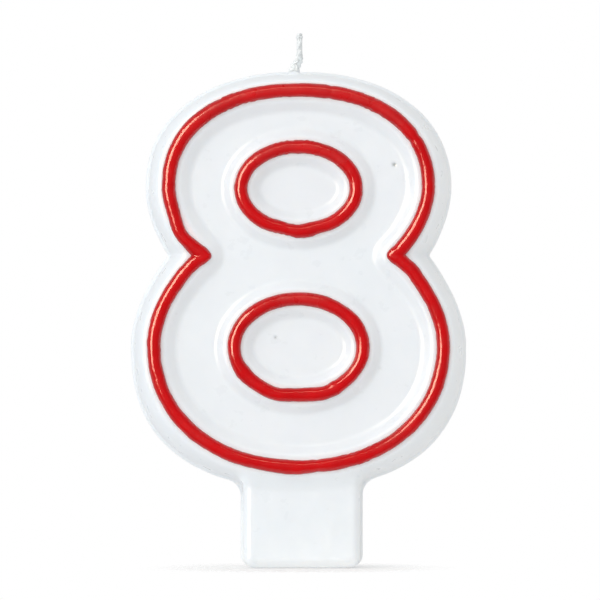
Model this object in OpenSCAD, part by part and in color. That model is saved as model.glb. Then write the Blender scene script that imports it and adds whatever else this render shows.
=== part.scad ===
// Number birthday candle: a moulded wax numeral with piped wax outlines and a plaited wick.
// Millimetres. +Z is up and the decorated face looks along -Y. The origin is on the surface that the
// foot stands on, midway across the width and midway through the depth.

/* [Numeral outline] */
// Width of the upper lobe
upper_w = 47.6; // [38:0.1:58]
// Width of the lower lobe
lower_w = 52.2; // [42:0.1:64]
// Width across the waist, between the two notches
waist_w = 40.6; // [32:0.1:44]
// Height from the widest level of the upper lobe to its crown
crown_h = 18.1; // [14:0.1:24]
// Height from the waist to the widest level of the upper lobe
upper_flank_h = 10.5; // [8:0.1:14]
// Height from the widest level of the lower lobe to the waist
lower_flank_h = 13.8; // [10:0.1:18]
// Height from the lowest point of the lower lobe to its widest level
base_h = 22.3; // [17:0.1:28]

/* [Depth] */
// Depth of the wax from its flat back to the crest of the ridges
wax_depth = 11; // [8:0.1:14]
// Depth of the sunk panel and counters below the crest
recess_depth = 1.4; // [0.6:0.1:2.4]
// Width of the thin lip round the back edge
lip_w = 0.5; // [0.2:0.05:0.8]
// Thickness of the lip
lip_thick = 0.8; // [0.4:0.1:1.6]

/* [Shoulder] */
// Distance from the wax edge to the middle of the outline, at the sides
side_shoulder = 3.75; // [3.1:0.05:4.6]
// Distance from the wax edge to the middle of the outline, at the crown
crown_shoulder = 3.1; // [2.7:0.05:4.2]
// Distance from the wax edge to the middle of the outline, at the base
base_shoulder = 3.45; // [2.9:0.05:4.4]
// Distance from the wax edge to the middle of the outline, at the waist
waist_shoulder = 5.4; // [4.5:0.05:6.5]

/* [Piped outlines] */
// Width of each piped line of wax
bead_w = 2.1; // [1.5:0.05:2.3]
// Height of each piped line above the crest that it sits on
bead_h = 1.1; // [0.6:0.05:1.6]
// Flat of the crest left outside each piped line
crest_margin = 0.2; // [0.1:0.05:0.3]
// Width of the slope from the crest to the sunk panel
panel_slope = 1.9; // [1:0.1:2.2]
// Width of the slopes on each side of a counter's ridge
counter_slope = 1.4; // [0.8:0.1:1.6]

/* [Counters] */
// Width of the upper counter, between the middles of its piped line
upper_counter_w = 17.8; // [14:0.1:19]
// Height of the upper counter, between the middles of its piped line
upper_counter_h = 12.9; // [10.7:0.1:14]
// Width of the lower counter, between the middles of its piped line
lower_counter_w = 19.9; // [16:0.1:22]
// Height of the lower counter, between the middles of its piped line
lower_counter_h = 14.9; // [12:0.1:16]
// Height of the middle of the upper counter above the waist
upper_counter_rise = 10.3; // [9.6:0.1:11]
// Depth of the middle of the lower counter below the waist
lower_counter_drop = 14.2; // [13:0.1:15]

/* [Foot] */
// Width of the foot
foot_w = 19; // [15:0.1:24]
// Height of the foot below the lower lobe
foot_h = 12.3; // [9:0.1:18]
// Distance that the front of the foot is set back from the crest
foot_setback = 1.4; // [0.8:0.1:3]
// Bevel on the front edges of the foot
foot_bevel = 0.8; // [0.4:0.1:1.1]
// Radius of the fillet between the foot and the lower lobe
foot_fillet = 1.8; // [0.8:0.1:2.6]
// Radius of the foot's lower corners
foot_corner = 1.8; // [1.4:0.1:3]
// Thickness of the lip down the sides of the foot
foot_lip = 0.7; // [0.3:0.1:0.7]
// Fall of that lip towards the wax it surrounds
foot_lip_fall = 0.4; // [0.3:0.1:0.6]
// Distance of the foot to the right of the middle
foot_shift = 0.5; // [-1:0.1:1]

/* [Wick] */
// Diameter of one strand of the plait
strand_d = 0.46; // [0.4:0.02:0.48]
// Distance that the wick stands out of the crown
wick_exposed = 5.8; // [3:0.1:12]
// Height above the table at which the buried wick ends
wick_end_z = 14; // [6:0.5:30]
// Distance of the buried wick to the right of the middle
wick_x = -0.7; // [-2:0.1:2]
// Sideways lean of the wick's tip from the buried wick
wick_lean = 0.85; // [-2:0.05:2]
// Length of one full repeat of the plait
plait_pitch = 5; // [4:0.25:8]
// Clearance between the plait and the bore that holds it
wick_clearance = 0.05; // [0.02:0.01:0.1]

/* [Hidden] */
$fn = 48;

// Roundness of each quarter of a lobe: 2 is an ellipse, more is squarer and less is straighter.
crown_n = 2.2;
upper_flank_n = 1.78;
edge_lower_flank_n = 1.68;
line_lower_flank_n = 1.8;
edge_base_n = 2.4;
line_base_n = 2.14;

// Levels of the numeral, from the foot up
lobe_bottom_z = foot_h;
lower_mid_z = lobe_bottom_z + base_h;
waist_z = lower_mid_z + lower_flank_h;
upper_mid_z = waist_z + upper_flank_h;
crown_z = upper_mid_z + crown_h;
upper_counter_z = waist_z + upper_counter_rise;
lower_counter_z = waist_z - lower_counter_drop;

// Planes through the depth, from the back to the front
total_depth = wax_depth + bead_h;
back_y = total_depth / 2;
lip_y = back_y - lip_thick;
crest_y = back_y - wax_depth;
panel_y = crest_y + recess_depth;
foot_front_y = crest_y + foot_setback;
mid_y = back_y - wax_depth / 2;

// An outline is [upper half width, crown height, lower half width, base height, waist half width,
// lower flank roundness, base roundness]. These are the wax edge, the piped line, and the change in
// the piped line for each millimetre inwards. The waist moves further, as the mitre of its corner.
waist_mitre = 1.3;
wax_edge = [upper_w / 2, crown_h, lower_w / 2, base_h, waist_w / 2, edge_lower_flank_n, edge_base_n];
piped_line = [upper_w / 2 - side_shoulder, crown_h - crown_shoulder, lower_w / 2 - side_shoulder,
              base_h - base_shoulder, waist_w / 2 - waist_shoulder, line_lower_flank_n, line_base_n];
inwards = [1, 1, 1, 1, waist_mitre, 0, 0];
crest_half = bead_w / 2 + crest_margin;

// Points in one quarter of a lobe, and how far short of the top and bottom the first and last lie
quarter_steps = 13;
end_gap = 3;
bead_steps = 8;
bead_fullness = 0.8;
strand_sides = 6;
rings_per_pitch = 8;

// Height of a lobe's quarter that passes through a waist point, where rise is the waist's distance from
// the lobe's widest level
function flank_height(half_w, waist_half, rise, n) =
    rise / pow(1 - pow(waist_half / half_w, n), 1 / n);
// Angle on that quarter at which it reaches the waist
function waist_angle(height, rise, n) = asin(pow(rise / height, n / 2));
// Point on a quarter of a lobe, at an angle above its widest level
function lobe_point(half_w, height, n, angle) =
    [half_w * pow(cos(angle), 2 / n), height * pow(sin(angle), 2 / n)];
// One quarter of a lobe about the level mid_z, going up or down from it by way
function quarter(half_w, height, n, from, to, mid_z, way) =
    [for (i = [0 : quarter_steps])
        let (p = lobe_point(half_w, height, n, from + (to - from) * i / quarter_steps))
            [p[0], mid_z + way * p[1]]];
function without_first(list) = [for (i = [1 : len(list) - 1]) list[i]];

// Right-hand half of an outline, from the crown down to the base
function half_outline(o) =
    let (upper_height = flank_height(o[0], o[4], upper_flank_h, upper_flank_n),
         lower_height = flank_height(o[2], o[4], lower_flank_h, o[5]),
         upper_angle = waist_angle(upper_height, upper_flank_h, upper_flank_n),
         lower_angle = waist_angle(lower_height, lower_flank_h, o[5]))
        concat(
            quarter(o[0], o[1], crown_n, 90 - end_gap, 0, upper_mid_z, 1),
            without_first(quarter(o[0], upper_height, upper_flank_n, 0, upper_angle, upper_mid_z, -1)),
            without_first(quarter(o[2], lower_height, o[5], lower_angle, 0, lower_mid_z, 1)),
            without_first(quarter(o[2], o[3], o[6], 0, 90 - end_gap, lower_mid_z, -1)));

// Right-hand half of an ellipse
function half_ellipse(half_w, half_h, mid_z) =
    let (steps = 2 * quarter_steps)
        [for (i = [0 : steps])
            let (a = (90 - end_gap) * (1 - 2 * i / steps))
                [half_w * cos(a), mid_z + half_h * sin(a)]];

// A closed outline from its right-hand half, anticlockwise as seen from the front
function whole(half) = concat([for (p = half) [-p[0], p[1]]], [for (i = [len(half) - 1 : -1 : 0]) half[i]]);

// Faces between neighbouring rings of n points each, as triangles
function side_faces(rings, n, closed) =
    [for (r = [0 : rings - (closed ? 1 : 2)], i = [0 : n - 1], k = [0, 1])
        let (a = r * n + i,
             b = r * n + (i + 1) % n,
             c = ((r + 1) % rings) * n + i,
             d = ((r + 1) % rings) * n + (i + 1) % n)
            k == 0 ? [a, c, b] : [b, c, d]];

// Solid that runs from ring to ring towards the front. Each ring is [right-hand half outline, y].
module loft(rings) {
    half = len(rings[0][0]);
    n = 2 * half;
    last = (len(rings) - 1) * n;
    points = [for (r = rings, p = whole(r[0])) [p[0], r[1], p[1]]];
    back_cap = [for (i = [0 : half - 2]) [i, i + 1, n - 2 - i, n - 1 - i]];
    front_cap = [for (f = back_cap) [last + f[3], last + f[2], last + f[1], last + f[0]]];
    polyhedron(points, concat(back_cap, side_faces(len(rings), n, false), front_cap));
}

// Share of the way down a smooth slope, at a share of the way across it
function soft_step(t) = t * t * (3 - 2 * t);

// Pocket that opens to the front, with soft sides. At a share t of the way across its slope,
// half_at(t) is the outline.
slope_steps = 4;
function pocket_y(t) = crest_y + recess_depth * soft_step(t);

module panel_pocket() {
    outer = piped_line - crest_half * inwards;
    loft([
        for (i = [slope_steps : -1 : 0])
            let (t = i / slope_steps)
                [half_outline(outer - panel_slope * t * inwards), pocket_y(t)],
        [half_outline(outer), crest_y - bead_h]
    ]);
}

// Ridge that stands round a counter, up from the sunk panel
module counter_ridge(w, h, z) {
    outer = crest_half + counter_slope;
    loft([
        [half_ellipse(w / 2 + outer, h / 2 + outer, z), panel_y + recess_depth],
        for (i = [slope_steps : -1 : 0])
            let (t = i / slope_steps,
                 d = crest_half + counter_slope * t)
                [half_ellipse(w / 2 + d, h / 2 + d, z), pocket_y(t)]
    ]);
}

module counter_pocket(w, h, z) {
    loft([
        for (i = [slope_steps : -1 : 0])
            let (t = i / slope_steps,
                 d = crest_half + counter_slope * t)
                [half_ellipse(w / 2 - d, h / 2 - d, z), pocket_y(t)],
        [half_ellipse(w / 2 - crest_half, h / 2 - crest_half, z), crest_y - bead_h]
    ]);
}

// Drafted side and rounded shoulder, from the lip at angle 0 to the crest at 90
crest_edge = piped_line + crest_half * inwards;
side_foot = wax_edge - lip_w * inwards;
function shoulder_outline(angle) = side_foot + (crest_edge - side_foot) * (1 - cos(angle));
function shoulder_y(angle) = lip_y + (crest_y - lip_y) * sin(angle);

// Outside of the wax: flat back, thin lip, drafted side and rounded shoulder up to the crest
shoulder_steps = 5;
module numeral_shell() {
    loft(concat(
        [[half_outline(wax_edge), back_y], [half_outline(wax_edge), lip_y]],
        [for (i = [0 : shoulder_steps])
            let (a = 90 * i / shoulder_steps)
                [half_outline(shoulder_outline(a)), shoulder_y(a)]]));
}

// Level of the lower lobe's edge at a distance x from the middle
function base_level(o, x) = lower_mid_z - o[3] * pow(1 - pow(x / o[2], o[6]), 1 / o[6]);

// Sideways reach of the foot with its fillet, the angle on the shoulder where the foot's front bevel
// starts, and the levels where the fillet meets the lobe at the lip and at that bevel. The foot's hidden
// top lies midway between the second level and the inner edge of the crest.
foot_reach = foot_w / 2 + foot_fillet;
front_angle = asin((back_y - foot_front_y - foot_bevel - lip_thick) / (wax_depth - lip_thick));
edge_join = base_level(wax_edge, foot_reach);
front_join = base_level(shoulder_outline(front_angle), foot_reach);
foot_top_z = (front_join + lobe_bottom_z + base_shoulder + crest_half) / 2;

// Right-hand half of the foot, with a fillet up to the lobe's edge at level join_z and a rounded lower
// corner. Its side is drawn in by side, and its bottom by under.
arc_steps = 5;
foot_steps = 3;
function half_foot(join_z, side, under) =
    let (corner_x = foot_w / 2 - foot_corner,
         corner_rx = foot_corner - side,
         corner_rz = foot_corner - under)
        concat(
            [[foot_reach, foot_top_z]],
            [for (i = [0 : arc_steps])
                let (a = 90 + 90 * i / arc_steps)
                    [foot_reach + (foot_fillet + side) * cos(a), join_z - foot_fillet * (1 - sin(a))]],
            [for (i = [0 : arc_steps])
                let (a = -90 * i / arc_steps)
                    [corner_x + corner_rx * cos(a), foot_corner + corner_rz * sin(a)]]);

// Foot, whose sides carry the lip and meet the lobe's shoulder with a fillet at every depth
module foot() {
    translate([foot_shift, 0, 0])
        loft(concat(
            [[half_foot(edge_join, 0, 0), back_y], [half_foot(edge_join, 0, 0), back_y - foot_lip]],
            [for (i = [0 : foot_steps])
                let (a = front_angle * i / foot_steps)
                    [half_foot(base_level(shoulder_outline(a), foot_reach), lip_w, 0),
                     i == 0 ? back_y - foot_lip - foot_lip_fall : shoulder_y(a)]],
            [[half_foot(front_join, lip_w + foot_bevel, foot_bevel), foot_front_y]]));
}

// Plait: three strands that cross each other, each a third of a repeat behind the last
plait_half_w = 0.5;
plait_half_t = 0.33;
plait_reach = 0.53;
bore_r = plait_reach + strand_d / 2 + wick_clearance;
wick_top_z = crown_z + wick_exposed;
// Above the crown the plait leans over a height lean_h. It starts to turn at turn_from, and has turned
// by turn_angle after a height turn_h.
lean_h = 2.2;
turn_from = 1;
turn_h = 2.5;
turn_angle = 80;
function ramp(z, from, height) = soft_step(min(1, max(0, (z - from) / height)));
function wick_shift(z) = wick_x + wick_lean * ramp(z, crown_z, lean_h);
function plait_point(z, phase) =
    let (t = 360 * (z - wick_end_z) / plait_pitch + phase,
         u = plait_half_w * sin(t),
         v = plait_half_t * sin(2 * t),
         turn = turn_angle * ramp(z, crown_z + turn_from, turn_h))
        [wick_shift(z) + u * cos(turn) - v * sin(turn), mid_y + u * sin(turn) + v * cos(turn), z];

module wick_bore() {
    translate([wick_x, mid_y, wick_end_z])
        cylinder(h = wick_top_z - wick_end_z, r = bore_r);
}

function unit(v) = v / norm(v);

// Round strand with level rings, so that its ends are cut square
module strand(phase) {
    rings = ceil((wick_top_z - wick_end_z) * rings_per_pitch / plait_pitch);
    n = strand_sides;
    points = [for (r = [0 : rings], i = [0 : n - 1])
        let (z = wick_end_z + (wick_top_z - wick_end_z) * r / rings,
             a = 360 * i / n)
            plait_point(z, phase) + strand_d / 2 * [cos(a), sin(a), 0]];
    ends = [[for (i = [0 : n - 1]) i], [for (i = [n - 1 : -1 : 0]) rings * n + i]];
    polyhedron(points, concat(ends, side_faces(rings + 1, n, false)));
}

// Piped line of wax along a closed path on the crest: flat below and round above
module piped_bead(half) {
    path = whole(half);
    count = len(path);
    section = [for (i = [0 : bead_steps])
        let (a = 180 * i / bead_steps) [-bead_w / 2 * cos(a), bead_h * pow(sin(a), bead_fullness)]];
    n = len(section);
    points = [for (k = [0 : count - 1])
        let (before = unit(path[k] - path[(k + count - 1) % count]),
             after = unit(path[(k + 1) % count] - path[k]),
             across = unit([before[1] + after[1], -before[0] - after[0]]),
             mitre = 1 / (across * [before[1], -before[0]]))
            for (s = section)
                let (p = path[k] + across * mitre * s[0])
                    [p[0], crest_y - s[1], p[1]]];
    polyhedron(points, side_faces(count, n, true));
}

module numeral_body() {
    color("white")
        difference() {
            union() {
                difference() {
                    numeral_shell();
                    panel_pocket();
                }
                counter_ridge(upper_counter_w, upper_counter_h, upper_counter_z);
                counter_ridge(lower_counter_w, lower_counter_h, lower_counter_z);
                foot();
            }
            counter_pocket(upper_counter_w, upper_counter_h, upper_counter_z);
            counter_pocket(lower_counter_w, lower_counter_h, lower_counter_z);
            wick_bore();
        }
}

module outer_outline() {
    color("crimson") piped_bead(half_outline(piped_line));
}

module upper_counter_outline() {
    color("crimson") piped_bead(half_ellipse(upper_counter_w / 2, upper_counter_h / 2, upper_counter_z));
}

module lower_counter_outline() {
    color("crimson") piped_bead(half_ellipse(lower_counter_w / 2, lower_counter_h / 2, lower_counter_z));
}

module wick_strand_1() {
    color("ivory") strand(0);
}

module wick_strand_2() {
    color("ivory") strand(120);
}

module wick_strand_3() {
    color("ivory") strand(240);
}

numeral_body();
outer_outline();
upper_counter_outline();
lower_counter_outline();
wick_strand_1();
wick_strand_2();
wick_strand_3();
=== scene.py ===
import math

import bpy
import numpy as np
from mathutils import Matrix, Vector
from mathutils.kdtree import KDTree


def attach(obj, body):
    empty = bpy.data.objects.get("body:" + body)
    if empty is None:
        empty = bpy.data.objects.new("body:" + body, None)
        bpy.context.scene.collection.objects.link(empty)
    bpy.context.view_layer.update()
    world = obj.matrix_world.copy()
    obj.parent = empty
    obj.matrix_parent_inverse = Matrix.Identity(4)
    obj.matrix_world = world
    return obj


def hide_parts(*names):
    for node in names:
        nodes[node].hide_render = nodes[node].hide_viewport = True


MM = 0.001
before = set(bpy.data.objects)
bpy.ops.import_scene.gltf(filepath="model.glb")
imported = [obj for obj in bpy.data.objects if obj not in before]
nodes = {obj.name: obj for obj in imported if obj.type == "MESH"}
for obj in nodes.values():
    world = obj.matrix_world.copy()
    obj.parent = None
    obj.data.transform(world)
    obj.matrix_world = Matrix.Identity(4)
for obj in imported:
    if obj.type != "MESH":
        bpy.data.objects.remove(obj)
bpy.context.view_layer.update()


# ---------------------------------------------------------------- what the frame says, in millimetres
def points_of(name):
    return np.array([v.co for v in nodes[name].data.vertices], float) / MM


body_points = points_of("numeral_body")
line_points = points_of("outer_outline")
upper_points = points_of("upper_counter_outline")
lower_points = points_of("lower_counter_outline")
strand_points = [points_of("wick_strand_%d" % k) for k in (1, 2, 3)]


def crest_of(points):
    """The middle of a piped line: its front-most points."""
    return points[points[:, 1] < points[:, 1].min() + 0.01]


def ellipse_of(points):
    line = crest_of(points)
    z = line[np.argmax(line[:, 0]), 2]
    return line[:, 0].max(), (line[:, 2].max() - line[:, 2].min()) / 2 / END_SHARE, z


# The frame's curves stop 3 degrees short of the middle line, so they end a little under their full height
END_SHARE = math.sin(math.radians(87))
upper_a, upper_b, upper_z = ellipse_of(upper_points)
lower_a, lower_b, lower_z = ellipse_of(lower_points)
back_y = body_points[:, 1].max()
front_y = line_points[:, 1].min()
crest_y = line_points[:, 1].max()
edge_points = body_points[body_points[:, 1] > back_y - 0.01]
crown_z = body_points[:, 2].max()
wick_top = strand_points[0][:, 2].max()
in_counter = ((np.abs(body_points[:, 0]) < 0.9 * lower_a)
              & (np.abs(body_points[:, 2] - lower_z) < 0.9 * lower_b))
panel_y = body_points[in_counter & (body_points[:, 1] < 0)][:, 1].max()
lip_y = np.unique(np.round(body_points[body_points[:, 2] > upper_z][:, 1], 3))[-2]
foot_points = body_points[body_points[:, 2] < 6]
foot_front_y = foot_points[:, 1].min()
foot_left, foot_right = foot_points[:, 0].min(), foot_points[:, 0].max()
# Heights above the back
H_CREST = back_y - crest_y
H_PANEL = back_y - panel_y
H_LIP = back_y - lip_y
H_FOOT = back_y - foot_front_y
# The piped line, the crest under it and the lip at the back edge
BEAD_H = crest_y - front_y
BEAD_W = 2.1
CREST_HALF = 1.25
LIP_W = 0.5
# The worn slopes start at the piped line and run out softly on to the panel
SLOPE_START = 1.2
PANEL_SLOPE = 2.4
COUNTER_SLOPE = 1.9
# How far the wax reaches below the piped line at the bottom of the numeral
BASE_SHOULDER = 3.45
# How far apart the points of an outline are
LOOP_STEP = 0.04

# Roundness of the quarters of each outline: 2 is an ellipse
CROWN_N, FLANK_N = 2.2, 1.78
EDGE_FLANK_N, LINE_FLANK_N = 1.68, 1.8
EDGE_BASE_N, LINE_BASE_N = 2.4, 2.14


def outline(points, flank_n, base_n, base_z=None):
    """Dense closed outline of the numeral from a few of its points: two lobes that meet at a waist."""
    mid = (upper_z + lower_z) / 2
    top, low = points[points[:, 2] > mid], points[points[:, 2] <= mid]
    near = points[(points[:, 2] > lower_z) & (points[:, 2] < upper_z)]
    waist = near[np.argmin(np.abs(near[:, 0]))]
    waist_x, waist_z = abs(waist[0]), waist[2]
    top_x, low_x = np.abs(top[:, 0]).max(), np.abs(low[:, 0]).max()
    top_z = top[np.argmax(np.abs(top[:, 0])), 2]
    low_z = low[np.argmax(np.abs(low[:, 0])), 2]
    crown_h = (points[:, 2].max() - top_z) / END_SHARE
    base_h = low_z - (low[:, 2].min() if base_z is None else base_z)

    def flank_height(half_w, rise, n):
        return rise / (1 - (waist_x / half_w) ** n) ** (1 / n)

    def quarter(half_w, height, n, start, end, mid_z, way):
        a = np.linspace(start, end, 900)
        return np.stack([half_w * np.cos(a) ** (2 / n), mid_z + way * height * np.sin(a) ** (2 / n)], 1)

    up_h = flank_height(top_x, top_z - waist_z, FLANK_N)
    lo_h = flank_height(low_x, waist_z - low_z, flank_n)
    up_a = math.asin(((top_z - waist_z) / up_h) ** (FLANK_N / 2))
    lo_a = math.asin(((waist_z - low_z) / lo_h) ** (flank_n / 2))
    right = np.concatenate([
        quarter(top_x, crown_h, CROWN_N, math.pi / 2, 0, top_z, 1),
        quarter(top_x, up_h, FLANK_N, 0, up_a, top_z, -1)[1:],
        quarter(low_x, lo_h, flank_n, lo_a, 0, low_z, 1)[1:],
        quarter(low_x, base_h, base_n, 0, math.pi / 2, low_z, -1)[1:]])
    loop = np.concatenate([right, (right * (-1, 1))[::-1][1:-1]])
    return resample(loop)


def ellipse(a, b, z):
    t = np.linspace(0, -2 * math.pi, 1440, endpoint=False)
    return resample(np.stack([a * np.cos(t), z + b * np.sin(t)], 1))


def resample(loop):
    """The same closed loop with even steps."""
    closed = np.concatenate([loop, loop[:1]])
    length = np.concatenate([[0], np.cumsum(np.hypot(*np.diff(closed, axis=0).T))])
    s = np.linspace(0, length[-1], int(length[-1] / LOOP_STEP), endpoint=False)
    return np.stack([np.interp(s, length, closed[:, 0]), np.interp(s, length, closed[:, 1])], 1)


edge_loop = outline(edge_points[edge_points[:, 2] > 20], EDGE_FLANK_N, EDGE_BASE_N,
                    crest_of(line_points)[:, 2].min() - BASE_SHOULDER)
line_loop = outline(crest_of(line_points), LINE_FLANK_N, LINE_BASE_N)
upper_loop = ellipse(upper_a, upper_b, upper_z)
lower_loop = ellipse(lower_a, lower_b, lower_z)


# ---------------------------------------------------------------- shapes as fields
def normals_of(loop):
    """Outward normals of a clockwise loop."""
    t = np.roll(loop, -1, 0) - np.roll(loop, 1, 0)
    t /= np.linalg.norm(t, axis=1)[:, None] + 1e-12
    return np.stack([-t[:, 1], t[:, 0]], 1)


class Plane:
    """Values on an even grid over x and z, read anywhere by blending the four nearest."""

    def __init__(self, low, high, step):
        self.low, self.step = np.array(low, float), step
        self.nx, self.nz = [int(math.ceil((high[k] - low[k]) / step)) + 1 for k in (0, 1)]
        self.x = low[0] + step * np.arange(self.nx)
        self.z = low[1] + step * np.arange(self.nz)

    def distance(self, loop, inside_positive=True):
        """Signed distance to a loop, and the nearest point's number on it."""
        tree = KDTree(len(loop))
        for i, p in enumerate(loop):
            tree.insert((p[0], p[1], 0), i)
        tree.balance()
        n = normals_of(loop)
        d = np.empty((self.nx, self.nz))
        k = np.empty((self.nx, self.nz), int)
        for i, x in enumerate(self.x):
            for j, z in enumerate(self.z):
                _, k[i, j], d[i, j] = tree.find((x, z, 0))
        dx = self.x[:, None] - loop[k, 0]
        dz = self.z[None, :] - loop[k, 1]
        along = dx * n[k, 0] + dz * n[k, 1]
        d = np.where(d < 0.3, along, np.sign(along) * d)
        return (-d if inside_positive else d), k

    def read(self, values, x, z):
        u = np.clip((x - self.low[0]) / self.step, 0, self.nx - 1.001)
        v = np.clip((z - self.low[1]) / self.step, 0, self.nz - 1.001)
        i, j = u.astype(int), v.astype(int)
        u, v = u - i, v - j
        return (values[i, j] * (1 - u) * (1 - v) + values[i + 1, j] * u * (1 - v)
                + values[i, j + 1] * (1 - u) * v + values[i + 1, j + 1] * u * v)


def noise(x, y, z, scale, seed):
    """Smooth noise from -1 to 1, with bumps about scale across."""
    n = 32
    table = np.random.RandomState(seed).uniform(-1, 1, (n, n, n))
    x, y, z = np.broadcast_arrays(x / scale, y / scale, z / scale)
    total = 0
    ix, iy, iz = np.floor(x).astype(int), np.floor(y).astype(int), np.floor(z).astype(int)
    fx, fy, fz = x - ix, y - iy, z - iz
    fx, fy, fz = [f * f * f * (f * (6 * f - 15) + 10) for f in (fx, fy, fz)]
    for a in (0, 1):
        for b in (0, 1):
            for c in (0, 1):
                w = (fx if a else 1 - fx) * (fy if b else 1 - fy) * (fz if c else 1 - fz)
                total = total + w * table[(ix + a) % n, (iy + b) % n, (iz + c) % n]
    return total


def bell(x, z, mid_x, mid_z, reach):
    """1 at the middle, and less and less away from it."""
    return np.exp(-((x - mid_x) ** 2 + (z - mid_z) ** 2) / reach ** 2)


def soft_step(t):
    """0 before 0, 1 after 1, and a soft rise between."""
    t = np.clip(t, 0, 1)
    return t * t * (3 - 2 * t)


def smooth_min(a, b, k):
    """The smaller of the two, with their meeting rounded off within k."""
    h = np.clip(k - np.abs(a - b), 0, None) / k
    return np.minimum(a, b) - h * h * k / 4


def smooth_max(a, b, k):
    return -smooth_min(-a, -b, k)


def net(values, low, step):
    """Closed quad mesh where the values change sign; they are below 0 inside."""
    inside = values < 0
    dims = np.array(values.shape)
    corners, places, keys = [], [], []
    for ax in range(3):
        lo = [slice(None)] * 3
        hi = [slice(None)] * 3
        lo[ax], hi[ax] = slice(0, -1), slice(1, None)
        at = np.argwhere(inside[tuple(lo)] != inside[tuple(hi)])
        fa = values[tuple(at.T)]
        up = at.copy()
        up[:, ax] += 1
        fb = values[tuple(up.T)]
        p = at.astype(float)
        p[:, ax] += fa / (fa - fb)
        u, v = (ax + 1) % 3, (ax + 2) % 3
        ring = []
        for du, dv in ((-1, -1), (0, -1), (0, 0), (-1, 0)):
            c = at.copy()
            c[:, u] += du
            c[:, v] += dv
            ring.append((c[:, 0] * dims[1] + c[:, 1]) * dims[2] + c[:, 2])
        ring = np.stack(ring, 1)
        keys.append(ring.ravel())
        places.append(np.repeat(p, 4, axis=0))
        flip = fa > 0
        ring[flip] = ring[flip][:, ::-1]
        corners.append(ring)
    corners, places, keys = np.concatenate(corners), np.concatenate(places), np.concatenate(keys)
    cells, number = np.unique(keys, return_inverse=True)
    count = np.bincount(number)
    points = np.stack([np.bincount(number, places[:, k]) / count for k in range(3)], 1)
    return np.array(low) + step * points, np.searchsorted(cells, corners)


def settle(points, value_at, step, rounds=2):
    """Moves the points on to the surface where the value is 0."""
    e = 0.02
    for _ in range(rounds):
        f = value_at(points[:, 0], points[:, 1], points[:, 2])
        g = np.stack([
            value_at(points[:, 0] + (e if k == 0 else 0), points[:, 1] + (e if k == 1 else 0),
                     points[:, 2] + (e if k == 2 else 0)) - f for k in range(3)], 1) / e
        size = (g * g).sum(1) + 1e-6
        move = -f[:, None] * g / size[:, None]
        length = np.linalg.norm(move, axis=1)[:, None] + 1e-9
        points = points + move * np.minimum(1, 0.35 * step / length)
    return points


def relax(points, faces, rounds=2):
    """Moves each point half way to the middle of its neighbours, which evens out the faces."""
    start = faces.ravel()
    end = np.roll(faces, -1, 1).ravel()
    one, other = np.concatenate([start, end]), np.concatenate([end, start])
    count = np.bincount(one, minlength=len(points))[:, None]
    for _ in range(rounds):
        total = np.stack([np.bincount(one, points[other, k], len(points)) for k in range(3)], 1)
        points = 0.5 * (points + total / count)
    return points


def add_mesh(name, points, faces):
    """A smooth-shaded object from points in millimetres and four-sided faces."""
    mesh = bpy.data.meshes.new(name)
    faces = np.asarray(faces)
    size = faces.shape[1]
    mesh.vertices.add(len(points))
    mesh.vertices.foreach_set("co", (points * MM).astype(np.float32).ravel())
    mesh.loops.add(faces.size)
    mesh.loops.foreach_set("vertex_index", faces.ravel().astype(np.int32))
    mesh.polygons.add(len(faces))
    mesh.polygons.foreach_set("loop_start", np.arange(0, faces.size, size, dtype=np.int32))
    mesh.update(calc_edges=True)
    mesh.validate()
    mesh.polygons.foreach_set("use_smooth", [True] * len(mesh.polygons))
    obj = bpy.data.objects.new(name, mesh)
    bpy.context.scene.collection.objects.link(obj)
    return obj


def paint(obj, name, values):
    """Keeps one value for each point, for the material to read."""
    obj.data.attributes.new(name, "FLOAT", "POINT").data.foreach_set("value", values.astype(np.float32))


def keep_inside(points, source):
    """Keeps a piece within its own CAD node's box."""
    return np.clip(points, source.min(0), source.max(0))


# ---------------------------------------------------------------- the moulded wax
STEP = 0.3
pad = 3 * STEP
plane = Plane((body_points[:, 0].min() - pad, -pad), (body_points[:, 0].max() + pad, crown_z + pad), STEP)
edge_in, _ = plane.distance(edge_loop)
line_in, _ = plane.distance(line_loop)
upper_out, _ = plane.distance(upper_loop, False)
lower_out, _ = plane.distance(lower_loop, False)

foot_mid, foot_half = (foot_left + foot_right) / 2, (foot_right - foot_left) / 2
FOOT_CORNER = 1.8
FOOT_LIP = 0.9
FOOT_BEVEL = 0.8
UNDER_BEVEL = 1.25
UNDER_SLOPE = 1.25
# The foot's own shape goes on inside the lobe up to here
FOOT_TOP = 15.4
WICK_X = strand_points[0][strand_points[0][:, 2] < 20][:, 0].mean()
WICK_Y = back_y - H_CREST / 2

# How far meeting surfaces are rounded off or filled
LIP_ROUND, LIP_FILL, CREST_ROUND = 0.35, 0.7, 0.35
FOOT_LIP_ROUND, FOOT_LIP_FILL, FOOT_ROUND = 0.3, 0.25, 0.2
BEVEL_MEET, BEVEL_ROUND = 0.5, 0.3
FOOT_FILL, BACK_ROUND, ROOT_ROUND, ROOT_FILL = 2.2, 0.16, 0.2, 1.1

# Unevenness of a moulded and dipped surface: how far it strays, how long its waves are, and its seed
WANDER = ((0.07, 5.5, 3), (0.03, 2.1, 4))
PANEL_UNEVEN = ((0.03, 7.0, 11), (0.006, 2.2, 12))
FOOT_UNEVEN = ((0.05, 2.6, 21), (0.025, 1.0, 22))
# The walls are smoother from front to back than along the outline
WALL_STRETCH = 0.3
BACK_SINK, BACK_RIM, BACK_REACH = 0.22, 0.6, 7
NARROWEST_RUN = 0.8
TINY = 1e-6

# Pinholes and small dents in the wax: x, z, radius and depth
PINHOLES = ((14.8, 62.4, 0.28, 0.3), (-3.5, 35.7, 0.22, 0.25), (-9.2, 57.1, 0.18, 0.14),
            (12.6, 30.9, 0.2, 0.16))
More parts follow.
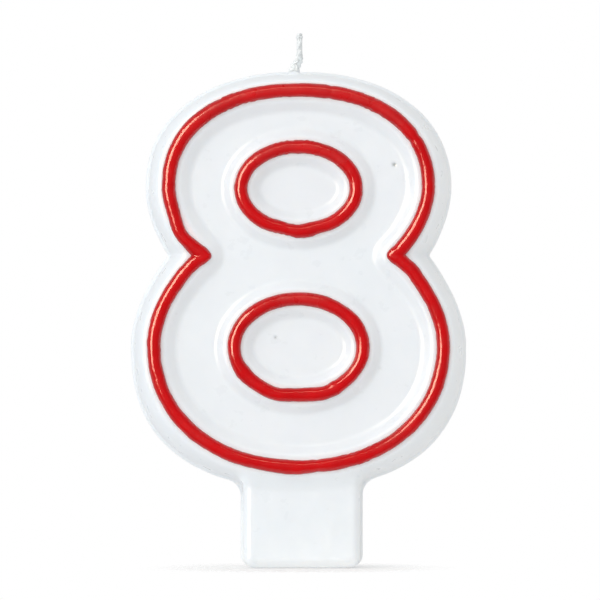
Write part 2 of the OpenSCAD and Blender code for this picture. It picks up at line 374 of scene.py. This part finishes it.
# A pinhole this deep gets the darkest painted shade
DARK_DEPTH = 0.3
# The painted pink bounce light beside a piped line, lighter than the wax: where it starts to fade, and over
# how far
BOUNCE_LIGHT_START, BOUNCE_LIGHT_FADE = 1.0, 0.5


def rounded_box(x, z, half, corner):
    """Distance outside a foot-shaped outline, closed below and open above."""
    qx = np.abs(x - foot_mid) - (half - corner)
    qz = corner - z
    return np.hypot(np.maximum(qx, 0), np.maximum(qz, 0)) + np.minimum(np.maximum(qx, qz), 0) - corner


def shoulder_value(t, edge, line, wander):
    """The rounded shoulder, a quarter of an ellipse from the lip to the crest."""
    run = np.maximum(edge - LIP_W, 0) + np.maximum(-line - CREST_HALF, 0)
    run = np.maximum(run, NARROWEST_RUN)
    across = np.maximum(1 - (edge - LIP_W) / run, 0)
    rise = np.maximum((t - H_LIP) / (H_CREST - H_LIP), 0)
    r = np.sqrt(across ** 2 + rise ** 2) + TINY
    slope = np.sqrt((across / run) ** 2 + (rise / (H_CREST - H_LIP)) ** 2) + TINY
    shoulder = (r - 1) * r / slope - 0.6 * wander
    return np.where(across <= 0, np.minimum(shoulder, t - H_CREST), shoulder)


def front_value(x, z, t, line, upper, lower):
    """The crest, and the panel and the counters that are sunk below it."""
    sunk = (soft_step((line - SLOPE_START) / PANEL_SLOPE)
            * soft_step((np.abs(upper) - SLOPE_START) / COUNTER_SLOPE)
            * soft_step((np.abs(lower) - SLOPE_START) / COUNTER_SLOPE))
    level = H_CREST - (H_CREST - H_PANEL) * sunk
    for stray, wave, seed in PANEL_UNEVEN:
        level = level + stray * sunk * noise(x, 0 * x, z, wave, seed)
    for hole_x, hole_z, radius, depth in PINHOLES:
        level = level - depth * bell(x, z, hole_x, hole_z, radius)
    return (t - level) * 0.8


def foot_value(x, z, t, wander):
    """The foot, with bevelled edges and its own thin lip down the sides."""
    side_lip = smooth_max(rounded_box(x, z, foot_half, FOOT_CORNER), (t - FOOT_LIP) * 0.8, FOOT_LIP_ROUND)
    face = H_FOOT
    for stray, wave, seed in FOOT_UNEVEN:
        face = face + stray * noise(x, 0 * x, z, wave, seed)
    block = rounded_box(x, z, foot_half - LIP_W, FOOT_CORNER) - 0.4 * wander
    side = np.abs(x - foot_mid) - (foot_half - LIP_W)
    front_edge = ((t - face) + side + FOOT_BEVEL) * 0.7071
    under_edge = (UNDER_SLOPE * (t - face) - z + UNDER_BEVEL) * 0.625
    bevels = smooth_max(front_edge, under_edge, BEVEL_MEET)
    foot = smooth_max(smooth_max(block, t - face, FOOT_ROUND), bevels, BEVEL_ROUND)
    foot = np.maximum(foot, z - FOOT_TOP)
    return np.maximum(smooth_min(side_lip, foot, FOOT_LIP_FILL), z - FOOT_TOP)


def back_value(x, z, t, edge):
    """The back, poured level and sunk a little as it set."""
    sink = BACK_SINK * soft_step((edge - BACK_RIM) / BACK_REACH) * (1 + 0.5 * noise(x, 0 * x, z, 12, 31))
    return sink - t


def root_value(x, y, z):
    """Wax drawn up round the root of the wick."""
    stem = np.hypot((x - WICK_X) * 0.8, y - WICK_Y) - 0.55
    root = smooth_max(stem, z - (crown_z - 0.02), ROOT_ROUND)
    return np.maximum(root, crown_z - 4 - z)


def wax_value(x, y, z, edge, line, upper, lower):
    """Below 0 inside the wax. The last four are the distances from the outlines."""
    t = back_y - y
    wander = sum(stray * noise(x, WALL_STRETCH * y, z, wave, seed) for stray, wave, seed in WANDER)
    edge = edge + 0.5 * wander
    lip = smooth_max(-edge, t - H_LIP, LIP_ROUND)
    shoulder = shoulder_value(t, edge, line, wander)
    front = front_value(x, z, t, line, upper, lower)
    lobe = smooth_max(smooth_min(lip, shoulder, LIP_FILL), front, CREST_ROUND)
    value = smooth_min(lobe, foot_value(x, z, t, wander), FOOT_FILL)
    value = smooth_max(value, back_value(x, z, t, edge), BACK_ROUND)
    return smooth_min(value, root_value(x, y, z), ROOT_FILL)


def wax_at(x, y, z):
    fields = [plane.read(f, x, z) for f in (edge_in, line_in, upper_out, lower_out)]
    return wax_value(x, y, z, *fields)


def moulded_wax():
    """The numeral in wax, with its pinholes, and with painted shade in the pinholes and painted pink bounce
    light beside the piped lines kept on it for the material.
    """
    grid_y = np.arange(crest_y - pad, back_y + pad + STEP, STEP)
    grid = wax_value(plane.x[:, None, None], grid_y[None, :, None], plane.z[None, None, :],
                     *[f[:, None, :] for f in (edge_in, line_in, upper_out, lower_out)])
    points, faces = net(grid, (plane.x[0], grid_y[0], plane.z[0]), STEP)
    points = settle(relax(settle(points, wax_at, STEP), faces), wax_at, STEP)
    obj = add_mesh("wax_numeral", keep_inside(points, body_points), faces)
    x, y, z = points.T
    # Painted shade: the pinholes are coloured darker the deeper they are
    pinhole_shade_amount = sum(min(1, (depth / DARK_DEPTH) ** 3) * bell(x, z, hole_x, hole_z, radius)
                 for hole_x, hole_z, radius, depth in PINHOLES)
    paint(obj, "pinhole_shade", np.clip(pinhole_shade_amount, 0, 1) * (y < 0))
    near = np.min([np.abs(plane.read(f, x, z)) for f in (line_in, upper_out, lower_out)], 0)
    # Painted light: pink bounce light from the red lines, which lightens the wax beside each piped line
    paint(obj, "pink_bounce_light", (1 - soft_step((near - BOUNCE_LIGHT_START) / BOUNCE_LIGHT_FADE)) * (y < crest_y + 0.6))
    return obj


wax = moulded_wax()

# ---------------------------------------------------------------- the piped lines
BEAD_STEP = 0.15
# How far a line is bedded in the crest
BED = 0.35
# How much a line's width and height sway along it
WIDTH_SWAY, HEIGHT_SWAY = 0.010, 0.006

# Where the hand-piped line strays from the moulded crest: x, z, how far along x and z, reach
OUTER_SHIFTS = ((-17.5, 51.9, -0.55, -0.1, 2.4), (-14.9, 48.3, 0.75, -0.1, 0.7),
                (14.9, 48.3, -0.45, 0.0, 0.6), (-0.6, 15.7, 0.0, -0.12, 2.2), (17.2, 45.8, 0.18, 0.1, 1.2))
UPPER_SHIFTS = ((-3.0, 52.3, 0.0, 0.15, 1.2), (0.2, 52.3, 0.0, -0.12, 1.4), (3.2, 52.4, 0.0, 0.12, 1.2))
LOWER_SHIFTS = ((-4.0, 27.0, 0.0, -0.25, 2.0), (4.5, 27.0, 0.0, -0.25, 2.0), (0.3, 26.8, 0.0, 0.1, 2.0))
# Where it is thicker or thinner: x, z, extra width, reach
OUTER_WIDTHS = ((-14.1, 48.2, -0.6, 0.55), (14.3, 48.3, -0.5, 0.5), (-16.2, 49.0, 0.35, 1.3),
                (-13.0, 67.5, 0.18, 6.0), (5.0, 73.6, -0.2, 0.45), (17.9, 66.4, -0.25, 0.5),
                (2.9, 15.8, -0.25, 0.5), (-17.0, 26.0, -0.2, 0.8), (-2.0, 15.7, 0.2, 1.8))
UPPER_WIDTHS = ((-1.5, 52.3, -0.2, 0.9), (2.0, 52.3, 0.15, 1.0))
LOWER_WIDTHS = ((5.8, 27.6, 0.35, 0.5), (-8.3, 30.6, 0.25, 0.8))
# Stretches that set dull, and others that set rough: x, z, reach
DULL = ((-12.0, 70.0, 5.0), (-6.0, 73.0, 5.0), (1.0, 74.0, 5.0), (8.0, 72.5, 5.0), (13.0, 69.5, 4.0),
        (0.0, 65.5, 4.5), (0.0, 42.0, 5.0), (-6.0, 64.0, 2.5), (6.0, 64.0, 2.5), (15.0, 22.0, 4.0),
        (-14.0, 22.0, 3.0))
ROUGH = ((-9.0, 70.8, 4.0), (10.8, 70.9, 3.2), (9.0, 17.6, 3.0), (0.0, 66.0, 3.5), (-1.5, 52.3, 3.0))


def nudged(loop, shifts):
    """The loop moved by small amounts."""
    out = loop.copy()
    for x, z, dx, dz, reach in shifts:
        out = out + bell(loop[:, 0], loop[:, 1], x, z, reach)[:, None] * (dx, dz)
    return resample(out)


def hand_widths(path, widths, seed):
    """Half the line's width, and its height, at each point of its path."""
    s = np.arange(len(path)) * (2 * math.pi / len(path))
    length = np.hypot(*(np.roll(path, -1, 0) - path).T).sum()
    half = np.full(len(path), BEAD_W / 2)
    tall = np.full(len(path), BEAD_H)
    rng = np.random.RandomState(seed)
    for k in range(1, int(length / 5)):
        for values, sway in ((half, WIDTH_SWAY), (tall, HEIGHT_SWAY)):
            a, b = rng.normal(size=2)
            values += sway * a * np.sin(k * s + b * 7) * min(1, 6 / k)
    for x, z, extra, reach in widths:
        w = bell(path[:, 0], path[:, 1], x, z, reach)
        half += extra / 2 * w
        tall += 0.25 * extra * w
    return half, np.minimum(tall - 0.05, BEAD_H)


def bead(name, loop, shifts, widths, seed):
    """A line of wax piped by hand along the crest."""
    path = nudged(loop, shifts)
    half_width, height = hand_widths(path, widths, seed)
    flat = Plane(path.min(0) - 2.6, path.max(0) + 2.6, BEAD_STEP)
    d, k = flat.distance(path, False)
    half, rise = half_width[k], height[k]

    def value(x, y, z, d, half, rise):
        h = crest_y - y
        rough = sum(bell(x, z, rough_x, rough_z, reach) for rough_x, rough_z, reach in ROUGH)
        w = (half + 0.05 * noise(x, y, z, 1.4, seed + 5)
             + (0.02 + 0.07 * rough) * noise(x, y, z, 0.45, seed + 6))
        across = np.abs(d) / w
        up = np.maximum(h, 0) / rise
        r = (across ** 2.1 + up ** 1.7) ** 0.5 + TINY
        out = (r - 1) * np.minimum(w, rise)
        return smooth_max(out, -(h + BED), 0.1)

    def value_at(x, y, z):
        return value(x, y, z, *[flat.read(f, x, z) for f in (d, half, rise)])

    ys = np.arange(front_y - 3 * BEAD_STEP, crest_y + BED + 3 * BEAD_STEP, BEAD_STEP)
    grid = value(flat.x[:, None, None], ys[None, :, None], flat.z[None, None, :],
                 *[f[:, None, :] for f in (d, half, rise)])
    points, faces = net(grid, (flat.x[0], ys[0], flat.z[0]), BEAD_STEP)
    points = settle(points, value_at, BEAD_STEP)
    points[:, 1] = np.maximum(points[:, 1], front_y)
    obj = add_mesh(name, points, faces)
    dull = sum(bell(points[:, 0], points[:, 2], x, z, reach) for x, z, reach in DULL)
    paint(obj, "dull", np.clip(dull, 0, 1))
    return obj


outer = bead("piped_outline", line_loop, OUTER_SHIFTS, OUTER_WIDTHS, 41)
upper = bead("piped_upper_counter", upper_loop, UPPER_SHIFTS, UPPER_WIDTHS, 42)
lower = bead("piped_lower_counter", lower_loop, LOWER_SHIFTS, LOWER_WIDTHS, 43)


# ---------------------------------------------------------------- the wick
every_strand = np.concatenate(strand_points)
STRAND_SIDES, FILM_SIDES = 18, 20
STRAND_STEP, FILM_STEP = 0.2, 0.12
PLY_DEPTH = 0.10
# How much the wax draws the strands together above the crown
DRAWN_IN = 0.45
# The plait turns by this much above the crown
TURN = math.radians(80)
# Half the film's width and thickness at the root and above it, and how much thicker it ends
ROOT_WIDE, TOP_WIDE = 0.82, 0.56
ROOT_THICK, TOP_THICK, FRAYED_THICK = 0.42, 0.43, 0.18


def tube(name, rings):
    """A mesh from rings of points, each joined to the next."""
    sides = len(rings[0])
    faces = []
    for k in range(len(rings) - 1):
        for i in range(sides):
            j = (i + 1) % sides
            faces.append((k * sides + i, k * sides + j, (k + 1) * sides + j, (k + 1) * sides + i))
    return add_mesh(name, np.concatenate(rings), faces)


def strand(name, source):
    """One strand of the plait, itself twisted from three plies, along the CAD strand's middle."""
    levels = np.unique(np.round(source[:, 2], 4))
    middle = np.array([source[np.abs(source[:, 2] - z) < 0.001].mean(0) for z in levels])
    radius = np.linalg.norm(source[np.abs(source[:, 2] - levels[0]) < 0.001] - middle[0], axis=1).max()
    z = np.arange(levels[0], levels[-1] + TINY, STRAND_STEP)
    x = np.interp(z, middle[:, 2], middle[:, 0])
    y = np.interp(z, middle[:, 2], middle[:, 1])
    centre = [every_strand[np.abs(every_strand[:, 2] - level) < 0.35, 0].mean() for level in z]
    x = x - DRAWN_IN * soft_step((z - crown_z + 0.5) / 2) * (x - centre)
    a = np.arange(STRAND_SIDES) * 2 * math.pi / STRAND_SIDES
    low, high = source.min(0) - (0.1, 0.1, 0), source.max(0) + (0.1, 0.1, 0)
    rings = []
    for k, level in enumerate(z):
        ply = 1 - PLY_DEPTH * np.abs(np.sin(1.5 * (a + level * 2.6)))
        r = radius * ply * (1.25 if level > crown_z - 1 else 1)
        ring = np.stack([x[k] + r * np.cos(a), y[k] + r * np.sin(a), np.full(STRAND_SIDES, level)], 1)
        rings.append(np.clip(ring, low, high))
    return tube(name, rings)


def wick_film():
    """Wax drawn up between the strands, widest at the root."""
    levels = np.arange(crown_z - 0.6, wick_top - 0.25, FILM_STEP)
    a = np.arange(FILM_SIDES) * 2 * math.pi / FILM_SIDES
    rng = np.random.RandomState(8)
    uneven = np.convolve(rng.normal(size=len(levels) + 8), np.ones(9) / 9, "valid")
    rings = []
    for k, z in enumerate(levels):
        centre = every_strand[np.abs(every_strand[:, 2] - z) < 0.35].mean(0)
        turn = TURN * soft_step((z - crown_z - 1) / 2.5)
        rise = soft_step((z - crown_z - 0.8) / 1.8)
        frayed = soft_step((z - wick_top + 1.1) / 0.9)
        wide = ROOT_WIDE * (1 - rise) + TOP_WIDE * rise + 0.10 * uneven[k]
        thick = ROOT_THICK * (1 - rise) + TOP_THICK * rise + FRAYED_THICK * frayed
        end = min(1, (levels[-1] - z) / FILM_STEP + 0.5)
        u, v = wide * end * np.cos(a), thick * end * np.sin(a)
        rings.append(np.stack([centre[0] + u * math.cos(turn) - v * math.sin(turn),
                               centre[1] + u * math.sin(turn) + v * math.cos(turn),
                               np.full(FILM_SIDES, z)], 1))
    return tube("wick_wax_film", rings)


film = wick_film()
strands = [strand("cotton_strand_%d" % (k + 1), strand_points[k]) for k in range(3)]


# ---------------------------------------------------------------- materials
def material(name):
    """A new material, its nodes, its shader and the object's own coordinates."""
    m = bpy.data.materials.new(name)
    m.use_nodes = True
    tree = m.node_tree
    shader = tree.nodes["Principled BSDF"]
    coords = tree.nodes.new("ShaderNodeTexCoord")
    return m, tree, shader, coords.outputs["Object"]


def set_values(shader, values):
    for socket, value in values.items():
        shader.inputs[socket].default_value = value


def painted(tree, name):
    """A value that paint() keeps on the mesh."""
    n = tree.nodes.new("ShaderNodeAttribute")
    n.attribute_name = name
    return n.outputs["Fac"]


def noise_node(tree, coords, scale, detail=2.0, rough=0.5):
    n = tree.nodes.new("ShaderNodeTexNoise")
    set_values(n, {"Scale": scale, "Detail": detail, "Roughness": rough})
    tree.links.new(coords, n.inputs["Vector"])
    return n.outputs["Fac"]


def map_range(tree, source, start, end, first, last, soft=False):
    """Values from first to last as the source goes from start to end."""
    n = tree.nodes.new("ShaderNodeMapRange")
    if soft:
        n.interpolation_type = "SMOOTHSTEP"
    set_values(n, {"From Min": start, "From Max": end, "To Min": first, "To Max": last})
    tree.links.new(source, n.inputs["Value"])
    return n.outputs["Result"]


def spread(tree, source, low, high):
    """Values from low to high as a noise goes over most of its range."""
    return map_range(tree, source, 0.3, 0.7, low, high)


def mix_colors(tree, fac, a, b):
    m = tree.nodes.new("ShaderNodeMix")
    m.data_type = "RGBA"
    set_values(m, {"A": (*a, 1), "B": (*b, 1)})
    tree.links.new(fac, m.inputs["Factor"])
    return m.outputs["Result"]


def blend_colors(tree, fac, a, b):
    """The same as mix_colors, between two colours that are worked out by nodes."""
    m = tree.nodes.new("ShaderNodeMix")
    m.data_type = "RGBA"
    tree.links.new(fac, m.inputs["Factor"])
    tree.links.new(a, m.inputs["A"])
    tree.links.new(b, m.inputs["B"])
    return m.outputs["Result"]


def bump(tree, height, distance, strength, before=None):
    b = tree.nodes.new("ShaderNodeBump")
    set_values(b, {"Distance": distance, "Strength": strength})
    tree.links.new(height, b.inputs["Height"])
    if before is not None:
        tree.links.new(before, b.inputs["Normal"])
    return b.outputs["Normal"]


def white_wax():
    """Bluish white wax, a little cloudy, with painted shade in the pinholes and painted pink bounce light,
    lighter than the wax, beside the piped lines.
    """
    m, tree, shader, at = material("white_wax")
    cloud = spread(tree, noise_node(tree, at, 180, 4, 0.6), 0, 1)
    plain_white = mix_colors(tree, cloud, (0.835, 0.865, 0.885), (0.865, 0.89, 0.905))
    pink = mix_colors(tree, cloud, (0.97, 0.88, 0.88), (0.98, 0.93, 0.92))
    # Painted shade inside the pinholes
    pinhole_shade_colour = mix_colors(tree, cloud, (0.30, 0.32, 0.32), (0.34, 0.36, 0.36))
    # Painted light: a pink lighter than the wax, beside the piped lines
    bounce_lit = blend_colors(tree, painted(tree, "pink_bounce_light"), plain_white, pink)
    tree.links.new(blend_colors(tree, painted(tree, "pinhole_shade"), bounce_lit, pinhole_shade_colour), shader.inputs["Base Color"])
    tree.links.new(spread(tree, noise_node(tree, at, 420, 3), 0.26, 0.42), shader.inputs["Roughness"])
    set_values(shader, {"Subsurface Weight": 0.3, "Subsurface Radius": (1.0, 0.9, 0.8),
                        "Subsurface Scale": 0.0015, "IOR": 1.44, "Specular IOR Level": 0.4})
    soft = bump(tree, noise_node(tree, at, 350, 2), 0.0002, 0.08)
    tree.links.new(bump(tree, noise_node(tree, at, 1600, 2), 0.00004, 0.1, soft), shader.inputs["Normal"])
    return m


def red_wax():
    """Glossy red wax, with painted shade that darkens the sides of a line against its front, and duller in
    some stretches.
    """
    m, tree, shader, at = material("red_wax")
    cloud = spread(tree, noise_node(tree, at, 300, 3), 0, 1)
    # Painted shade: a shaded red on the sides of a line and a lit red on its front, blended by which way
    # the surface turns
    shaded_side_red = mix_colors(tree, cloud, (0.40, 0.001, 0.003), (0.46, 0.001, 0.004))
    lit_front_red = mix_colors(tree, cloud, (0.55, 0.001, 0.003), (0.65, 0.002, 0.004))
    turned = tree.nodes.new("ShaderNodeSeparateXYZ")
    tree.links.new(at.node.outputs["Normal"], turned.inputs[0])
    front_lit_share = map_range(tree, turned.outputs["Y"], -0.25, -0.97, 0, 1)
    tree.links.new(blend_colors(tree, front_lit_share, shaded_side_red, lit_front_red), shader.inputs["Base Color"])
    rougher = tree.nodes.new("ShaderNodeMath")
    rougher.operation = "MULTIPLY_ADD"
    tree.links.new(painted(tree, "dull"), rougher.inputs[0])
    rougher.inputs[1].default_value = 0.12
    tree.links.new(spread(tree, noise_node(tree, at, 500, 3), 0.13, 0.24), rougher.inputs[2])
    tree.links.new(rougher.outputs[0], shader.inputs["Roughness"])
    set_values(shader, {"Specular IOR Level": 0.35, "IOR": 1.46, "Coat Weight": 0.12,
                        "Coat Roughness": 0.08})
    soft = bump(tree, noise_node(tree, at, 900, 2), 0.00014, 0.5)
    tree.links.new(bump(tree, noise_node(tree, at, 2500, 2), 0.00004, 0.4, soft), shader.inputs["Normal"])
    return m


def wick_cotton():
    """Pale cotton that is stiff with wax."""
    m, tree, shader, at = material("wick_cotton")
    cloud = spread(tree, noise_node(tree, at, 2500, 3), 0, 1)
    pale = mix_colors(tree, cloud, (0.71, 0.745, 0.755), (0.775, 0.805, 0.81))
    tree.links.new(pale, shader.inputs["Base Color"])
    set_values(shader, {"Roughness": 0.7, "Subsurface Weight": 0.6, "Subsurface Radius": (1.0, 1.0, 1.0),
                        "Subsurface Scale": 0.0005})
    tree.links.new(bump(tree, noise_node(tree, at, 6000, 2), 0.00004, 0.6), shader.inputs["Normal"])
    return m


FINISHES = {"white_wax": white_wax(), "red_wax": red_wax(), "wick_cotton": wick_cotton()}
for obj, finish, stands_for in (
        (wax, "white_wax", "numeral_body"), (outer, "red_wax", "outer_outline"),
        (upper, "red_wax", "upper_counter_outline"), (lower, "red_wax", "lower_counter_outline"),
        (strands[0], "wick_cotton", "wick_strand_1"), (strands[1], "wick_cotton", "wick_strand_2"),
        (strands[2], "wick_cotton", "wick_strand_3"), (film, "wick_cotton", None)):
    obj.data.materials.append(FINISHES[finish])
    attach(obj, "root")
    if stands_for:
        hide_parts(stands_for)


# ---------------------------------------------------------------- the world's light, in metres from here on
LIT_LEFT, LIT_RIGHT = (0.84, 0.86, 0.885), (0.82, 0.815, 0.805)
DIM_ROOM, BACKDROP = (0.07, 0.07, 0.07), (0.8, 0.8, 0.8)


def across_world(tree, axis, start, end, first, second):
    """A colour that goes from first to second along one axis of the world."""
    coord = tree.nodes.new("ShaderNodeTexCoord")
    split = tree.nodes.new("ShaderNodeSeparateXYZ")
    tree.links.new(coord.outputs["Generated"], split.inputs[0])
    ramp = map_range(tree, split.outputs[axis], start, end, 0, 1, soft=True)
    return mix_colors(tree, ramp, first, second)


def studio_world():
    """White to the camera. It lights from all round, more from the left. Shiny wax reflects a dim room
    on the camera's side and the white backdrop behind."""
    world = bpy.data.worlds.new("studio")
    world.use_nodes = True
    bpy.context.scene.world = world
    t = world.node_tree
    t.nodes.clear()
    out = t.nodes.new("ShaderNodeOutputWorld")
    path = t.nodes.new("ShaderNodeLightPath")
    seen, lit, mirrored = [t.nodes.new("ShaderNodeBackground") for _ in range(3)]
    seen.inputs["Color"].default_value = (1, 1, 1, 1)
    t.links.new(across_world(t, "X", -0.9, 0.9, LIT_LEFT, LIT_RIGHT), lit.inputs["Color"])
    t.links.new(across_world(t, "Y", -0.35, 0.25, DIM_ROOM, BACKDROP), mirrored.inputs["Color"])
    last = lit.outputs[0]
    for flag, layer in (("Is Glossy Ray", mirrored), ("Is Camera Ray", seen)):
        choose = t.nodes.new("ShaderNodeMixShader")
        t.links.new(path.outputs[flag], choose.inputs["Fac"])
        t.links.new(last, choose.inputs[1])
        t.links.new(layer.outputs[0], choose.inputs[2])
        last = choose.outputs[0]
    t.links.new(last, out.inputs["Surface"])


studio_world()

# ---------------------------------------------------------------- lamps
WARM = (1, 0.82, 0.60)
# The camera looks at this point, a hair right of the middle and half way up
middle = Vector((0.00023, 0, 0.501 * (wick_top * MM)))


def softbox(name, place, width, height, watts, color):
    """A rectangular lamp that looks at the middle of the candle."""
    light = bpy.data.lights.new(name, "AREA")
    light.shape = "RECTANGLE"
    light.size, light.size_y = width, height
    light.energy = watts
    light.color = color
    obj = bpy.data.objects.new(name, light)
    obj.location = place
    obj.rotation_euler = (middle - Vector(place)).to_track_quat("-Z", "Y").to_euler()
    bpy.context.scene.collection.objects.link(obj)
    return obj


# Two lamps light the wax and leave no highlight, and two only make highlights
softbox("key", (-0.55, -0.62, 0.42), 0.45, 0.45, 1.9, (0.94, 0.98, 1.0)).visible_glossy = False
softbox("front", (-0.10, -1.0, 0.22), 0.5, 0.5, 0.85, (0.93, 0.98, 1.0)).visible_glossy = False
softbox("glint", (-0.48, -0.48, 0.22), 0.42, 0.60, 17.0, WARM).visible_diffuse = False
softbox("above", (0.02, -0.48, 0.62), 0.4, 0.08, 1.2, WARM).visible_diffuse = False

# ---------------------------------------------------------------- the floor
FLOOR_RADIUS = 0.22
FLOOR_SIDES = 96
# Just under the foot, so that the two surfaces don't fight
FLOOR_Z = -0.00002
# The floor is there only near the foot, and fades out into the white world
FADE_START, FADE_END = 0.008, 0.026


def pale_floor():
    m, tree, shader, at = material("pale_floor")
    set_values(shader, {"Base Color": (0.6, 0.6, 0.6, 1), "Roughness": 0.8,
                        "Emission Color": (1, 1, 1, 1), "Emission Strength": 0.28})
    far = tree.nodes.new("ShaderNodeVectorMath")
    far.operation = "LENGTH"
    tree.links.new(at, far.inputs[0])
    fade = map_range(tree, far.outputs["Value"], FADE_START, FADE_END, 1, 0, soft=True)
    tree.links.new(fade, shader.inputs["Alpha"])
    return m


floor_mesh = bpy.data.meshes.new("floor")
turns = np.linspace(0, 2 * math.pi, FLOOR_SIDES, endpoint=False)
ring = [(FLOOR_RADIUS * math.cos(a), FLOOR_RADIUS * math.sin(a), 0) for a in turns]
floor_mesh.from_pydata(ring, [], [list(range(FLOOR_SIDES))])
floor = bpy.data.objects.new("floor", floor_mesh)
floor.location.z = FLOOR_Z
bpy.context.scene.collection.objects.link(floor)
floor_mesh.materials.append(pale_floor())

# ---------------------------------------------------------------- the camera
# How wide a field it sees at the candle, from how far, and on how wide a sensor in millimetres
FIELD = 0.093
DISTANCE = 1.2
SENSOR = 36
camera = bpy.data.objects.new("camera", bpy.data.cameras.new("camera"))
camera.data.sensor_width = SENSOR
camera.data.lens = SENSOR * DISTANCE / FIELD
camera.data.clip_start = 0.05
camera.location = (middle.x, -DISTANCE, middle.z)
camera.rotation_euler = (math.pi / 2, 0, 0)
bpy.context.scene.collection.objects.link(camera)
bpy.context.scene.camera = camera
bpy.context.scene.view_settings.view_transform = "Standard"
